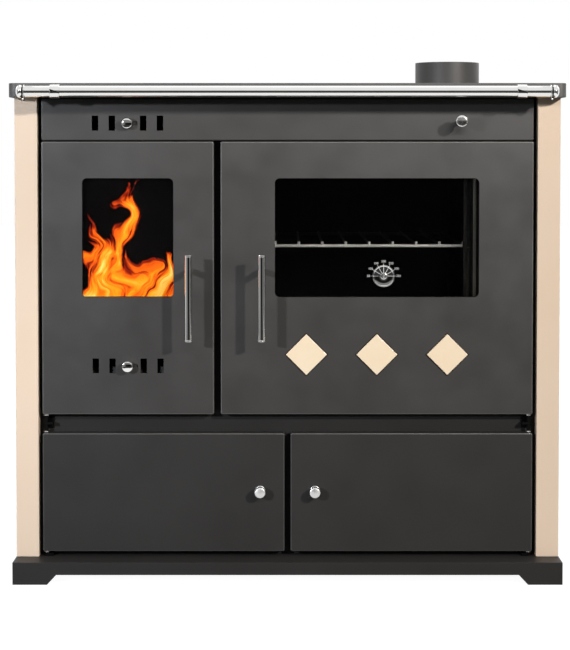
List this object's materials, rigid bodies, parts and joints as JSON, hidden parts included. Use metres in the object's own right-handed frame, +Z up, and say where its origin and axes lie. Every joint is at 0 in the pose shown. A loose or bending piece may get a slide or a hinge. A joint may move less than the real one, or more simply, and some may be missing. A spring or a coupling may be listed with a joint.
{
  "type": "wood-burning cookstove",
  "caption": "Free-standing wood-burning cookstove with hob, fire door, glazed oven, storage doors, towel rail and rear flue spigot.",
  "frame": {"origin": "on the floor, under the middle of the stove's outline", "axes": "+Z up, front faces -Y, +X to the right seen from the front"},
  "size_m": [0.9, 0.638, 0.869],
  "materials": {
    "enamel": "satin anthracite enamel",
    "cream_enamel": "satin cream enamel",
    "dark_steel": "heat-resistant black paint",
    "cast_iron": "machined and oiled",
    "chrome": "polished",
    "glass": "heat-resistant glass",
    "rope_seal": "braided glass fibre",
    "cream_tile": "glazed",
    "firebrick": "fired clay"
  },
  "bodies": {
    "carcass": {"base_plinth": "enamel", "side_panel_left": "cream_enamel", "side_panel_right": "cream_enamel", "front_frame": "enamel", "back_panel": "dark_steel", "storage_floor": "dark_steel", "middle_deck": "dark_steel", "storage_divider": "dark_steel", "upper_front_panel": "enamel", "hinge_bracket_top_left": "dark_steel", "hinge_bracket_middle_left": "dark_steel", "hinge_bracket_bottom_left": "dark_steel", "hinge_bracket_top_right": "dark_steel", "hinge_bracket_middle_right": "dark_steel", "hinge_bracket_bottom_right": "dark_steel", "hob_frame": "enamel", "hob_plate": "cast_iron", "flue_spigot": "enamel", "flue_chamber": "dark_steel", "towel_rail": "chrome", "rail_bracket_left": "chrome", "rail_bracket_right": "chrome", "firebox_casing": "dark_steel", "fire_grate": "cast_iron", "firebrick_left": "firebrick", "firebrick_right": "firebrick", "firebrick_back": "firebrick", "ash_pan": "dark_steel", "oven_box": "dark_steel", "oven_rack": "chrome"},
    "fire_door": {"fire_door_panel": "enamel", "fire_door_inner_frame": "cast_iron", "fire_window_glass": "glass", "fire_window_seal": "rope_seal"},
    "fire_latch": {"fire_handle_bar": "chrome", "fire_latch_spindle": "chrome"},
    "primary_air": {"primary_air_slide": "dark_steel", "primary_air_knob": "chrome"},
    "oven_door": {"oven_door_panel": "enamel", "oven_door_inner_frame": "cast_iron", "oven_window_glass": "glass", "oven_window_seal": "rope_seal", "diamond_tile_left": "cream_tile", "diamond_tile_middle": "cream_tile", "diamond_tile_right": "cream_tile", "thermometer_dial": "chrome"},
    "oven_latch": {"oven_handle_bar": "chrome", "oven_latch_spindle": "chrome"},
    "needle": {"thermometer_needle": "chrome"},
    "storage_left": {"storage_door_left": "enamel", "storage_knob_left": "chrome"},
    "storage_right": {"storage_door_right": "enamel", "storage_knob_right": "chrome"},
    "secondary_air": {"secondary_air_slide": "dark_steel", "secondary_air_knob": "chrome"},
    "damper": {"damper_plate": "dark_steel", "damper_rod": "chrome", "damper_knob": "chrome"},
    "lift_ring": {"hob_ring": "cast_iron"},
    "lift_lid": {"hob_lid": "cast_iron"}
  },
  "joints": [
    {"name": "fire_door_hinge", "type": "hinge", "parent": "carcass", "child": "fire_door", "pos_m": [-0.397, -0.231, 0.496], "axis": [0, 0, -1], "range_deg": [0, 98]},
    {"name": "oven_door_hinge", "type": "hinge", "parent": "carcass", "child": "oven_door", "pos_m": [0.397, -0.231, 0.496], "axis": [0, 0, 1], "range_deg": [0, 98]},
    {"name": "storage_left_hinge", "type": "hinge", "parent": "carcass", "child": "storage_left", "pos_m": [-0.397, -0.231, 0.143], "axis": [0, 0, -1], "range_deg": [0, 98]},
    {"name": "storage_right_hinge", "type": "hinge", "parent": "carcass", "child": "storage_right", "pos_m": [0.397, -0.231, 0.143], "axis": [0, 0, 1], "range_deg": [0, 98]},
    {"name": "fire_latch_turn", "type": "hinge", "parent": "fire_door", "child": "fire_latch", "pos_m": [-0.16, -0.286, 0.509], "axis": [0, 1, 0], "range_deg": [0, 85]},
    {"name": "oven_latch_turn", "type": "hinge", "parent": "oven_door", "child": "oven_latch", "pos_m": [-0.042, -0.286, 0.509], "axis": [0, -1, 0], "range_deg": [0, 85]},
    {"name": "primary_air_travel", "type": "slide", "parent": "fire_door", "child": "primary_air", "axis": [1, 0, 0], "range_m": [0, 0.013]},
    {"name": "secondary_air_travel", "type": "slide", "parent": "carcass", "child": "secondary_air", "axis": [1, 0, 0], "range_m": [0, 0.013]},
    {"name": "damper_pull", "type": "slide", "parent": "carcass", "child": "damper", "axis": [0, -1, 0], "range_m": [0, 0.09]},
    {"name": "hob_ring_lift", "type": "slide", "parent": "carcass", "child": "lift_ring", "axis": [0, 0, 1], "range_m": [0, 0.05]},
    {"name": "hob_lid_lift", "type": "slide", "parent": "lift_ring", "child": "lift_lid", "axis": [0, 0, 1], "range_m": [0, 0.05]},
    {"name": "needle_turn", "type": "hinge", "parent": "oven_door", "child": "needle", "pos_m": [0.1577, -0.238, 0.4995], "axis": [0, 1, 0], "range_deg": [0, 180]}
  ]
}
